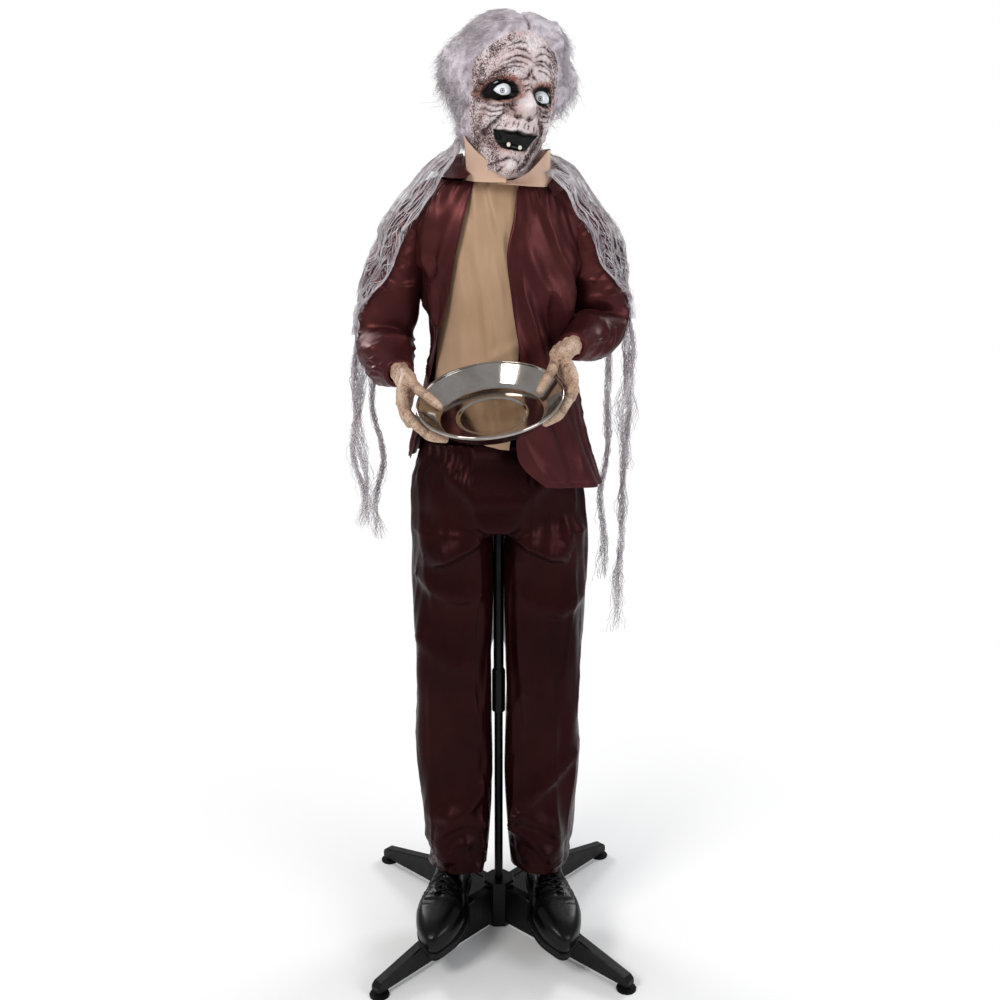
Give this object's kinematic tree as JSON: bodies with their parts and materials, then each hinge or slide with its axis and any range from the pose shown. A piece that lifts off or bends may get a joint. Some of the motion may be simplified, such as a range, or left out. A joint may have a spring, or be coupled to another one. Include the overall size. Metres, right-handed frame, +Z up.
{
  "type": "animated halloween figure",
  "caption": "Life-size standing ghoul butler on a splayed stand, with a motor-turned head, satin jacket and trousers, torn gauze, and hands that hold out a round steel dish.",
  "frame": {"origin": "on the floor, under the hub, on the pole's axis", "axes": "+Z up along the pole; the figure faces -Y; +X is the figure's left, the viewer's right"},
  "size_m": [0.5132, 0.5929, 1.7033],
  "materials": {
    "black_plastic": "moulded, satin black",
    "black_metal": "black powder coat",
    "boot_vinyl": "semi-gloss black vinyl",
    "white_plastic": "plain moulded",
    "grey_plastic": "plain moulded",
    "steel": "plain",
    "brass": "plain",
    "dish_steel": "bright polished pressed steel",
    "mask_latex": "painted latex, mottled and wrinkled",
    "hair": "fluffy crepe hair",
    "eye": "glossy white with a small painted pupil",
    "tooth": "off-white",
    "hand_vinyl": "tan vinyl with dark painted lines",
    "shirt_satin": "tan satin",
    "jacket_satin": "maroon satin",
    "trouser_satin": "dark maroon satin",
    "gauze": "torn grey gauze"
  },
  "bodies": {
    "frame": {"base_hub": "black_plastic", "stand_leg_back_left": "black_plastic", "stand_leg_back_right": "black_plastic", "stand_leg_front_right": "black_plastic", "stand_leg_front_left": "black_plastic", "foot_pad_back_left": "black_plastic", "foot_pad_back_right": "black_plastic", "foot_pad_front_right": "black_plastic", "foot_pad_front_left": "black_plastic", "pole_coupler": "black_plastic", "hip_frame": "black_plastic", "spine_block": "black_plastic", "control_box": "black_plastic", "pole_lower": "black_metal", "pole_upper": "black_metal", "shoulder_bar": "black_metal", "speaker": "black_metal", "boot_right": "boot_vinyl", "boot_left": "boot_vinyl", "leg_tube_right": "white_plastic", "leg_tube_left": "white_plastic", "dish_tie_right": "white_plastic", "dish_tie_left": "white_plastic", "upper_arm_right": "white_plastic", "upper_arm_left": "white_plastic", "forearm_right": "white_plastic", "forearm_left": "white_plastic", "torso_shell_front": "grey_plastic", "torso_shell_back": "grey_plastic", "drive_plate": "steel", "neck_motor": "steel", "battery_1": "steel", "battery_2": "steel", "battery_3": "steel", "door_pin": "steel", "neck_bush": "brass", "dish": "dish_steel", "hand_right": "hand_vinyl", "hand_left": "hand_vinyl", "shirt_front": "shirt_satin", "shirt_collar": "shirt_satin", "jacket_body": "jacket_satin", "jacket_sleeve_right": "jacket_satin", "jacket_sleeve_left": "jacket_satin", "trousers": "trouser_satin", "gauze_right": "gauze", "gauze_left": "gauze"},
    "head": {"neck_shaft": "steel", "neck_gear": "white_plastic", "skull_form": "grey_plastic", "mask": "mask_latex", "wig": "hair", "eye_right": "eye", "eye_left": "eye", "teeth": "tooth"},
    "pinion": {"motor_pinion": "white_plastic"},
    "door": {"battery_door": "black_plastic"},
    "switch": {"mode_switch": "white_plastic"}
  },
  "joints": [
    {"name": "head_turn", "type": "hinge", "parent": "frame", "child": "head", "pos_m": [0, 0, 1.4], "axis": [0, 0, 1], "range_deg": [-52, 8]},
    {"name": "pinion_spin", "type": "hinge", "parent": "frame", "child": "pinion", "pos_m": [0, 0.036, 1.37], "axis": [0, 0, 1], "range_deg": [-30, 160]},
    {"name": "battery_door_hinge", "type": "hinge", "parent": "frame", "child": "door", "pos_m": [0, 0.0445, 1.0451], "axis": [-1, 0, 0], "range_deg": [0, 100]},
    {"name": "mode_switch_slide", "type": "slide", "parent": "frame", "child": "switch", "axis": [0, 0, 1], "range_m": [0, 0.004]}
  ],
  "couplings": [
    {"joint": "pinion_spin", "follows": "head_turn", "ratio": -3}
  ]
}
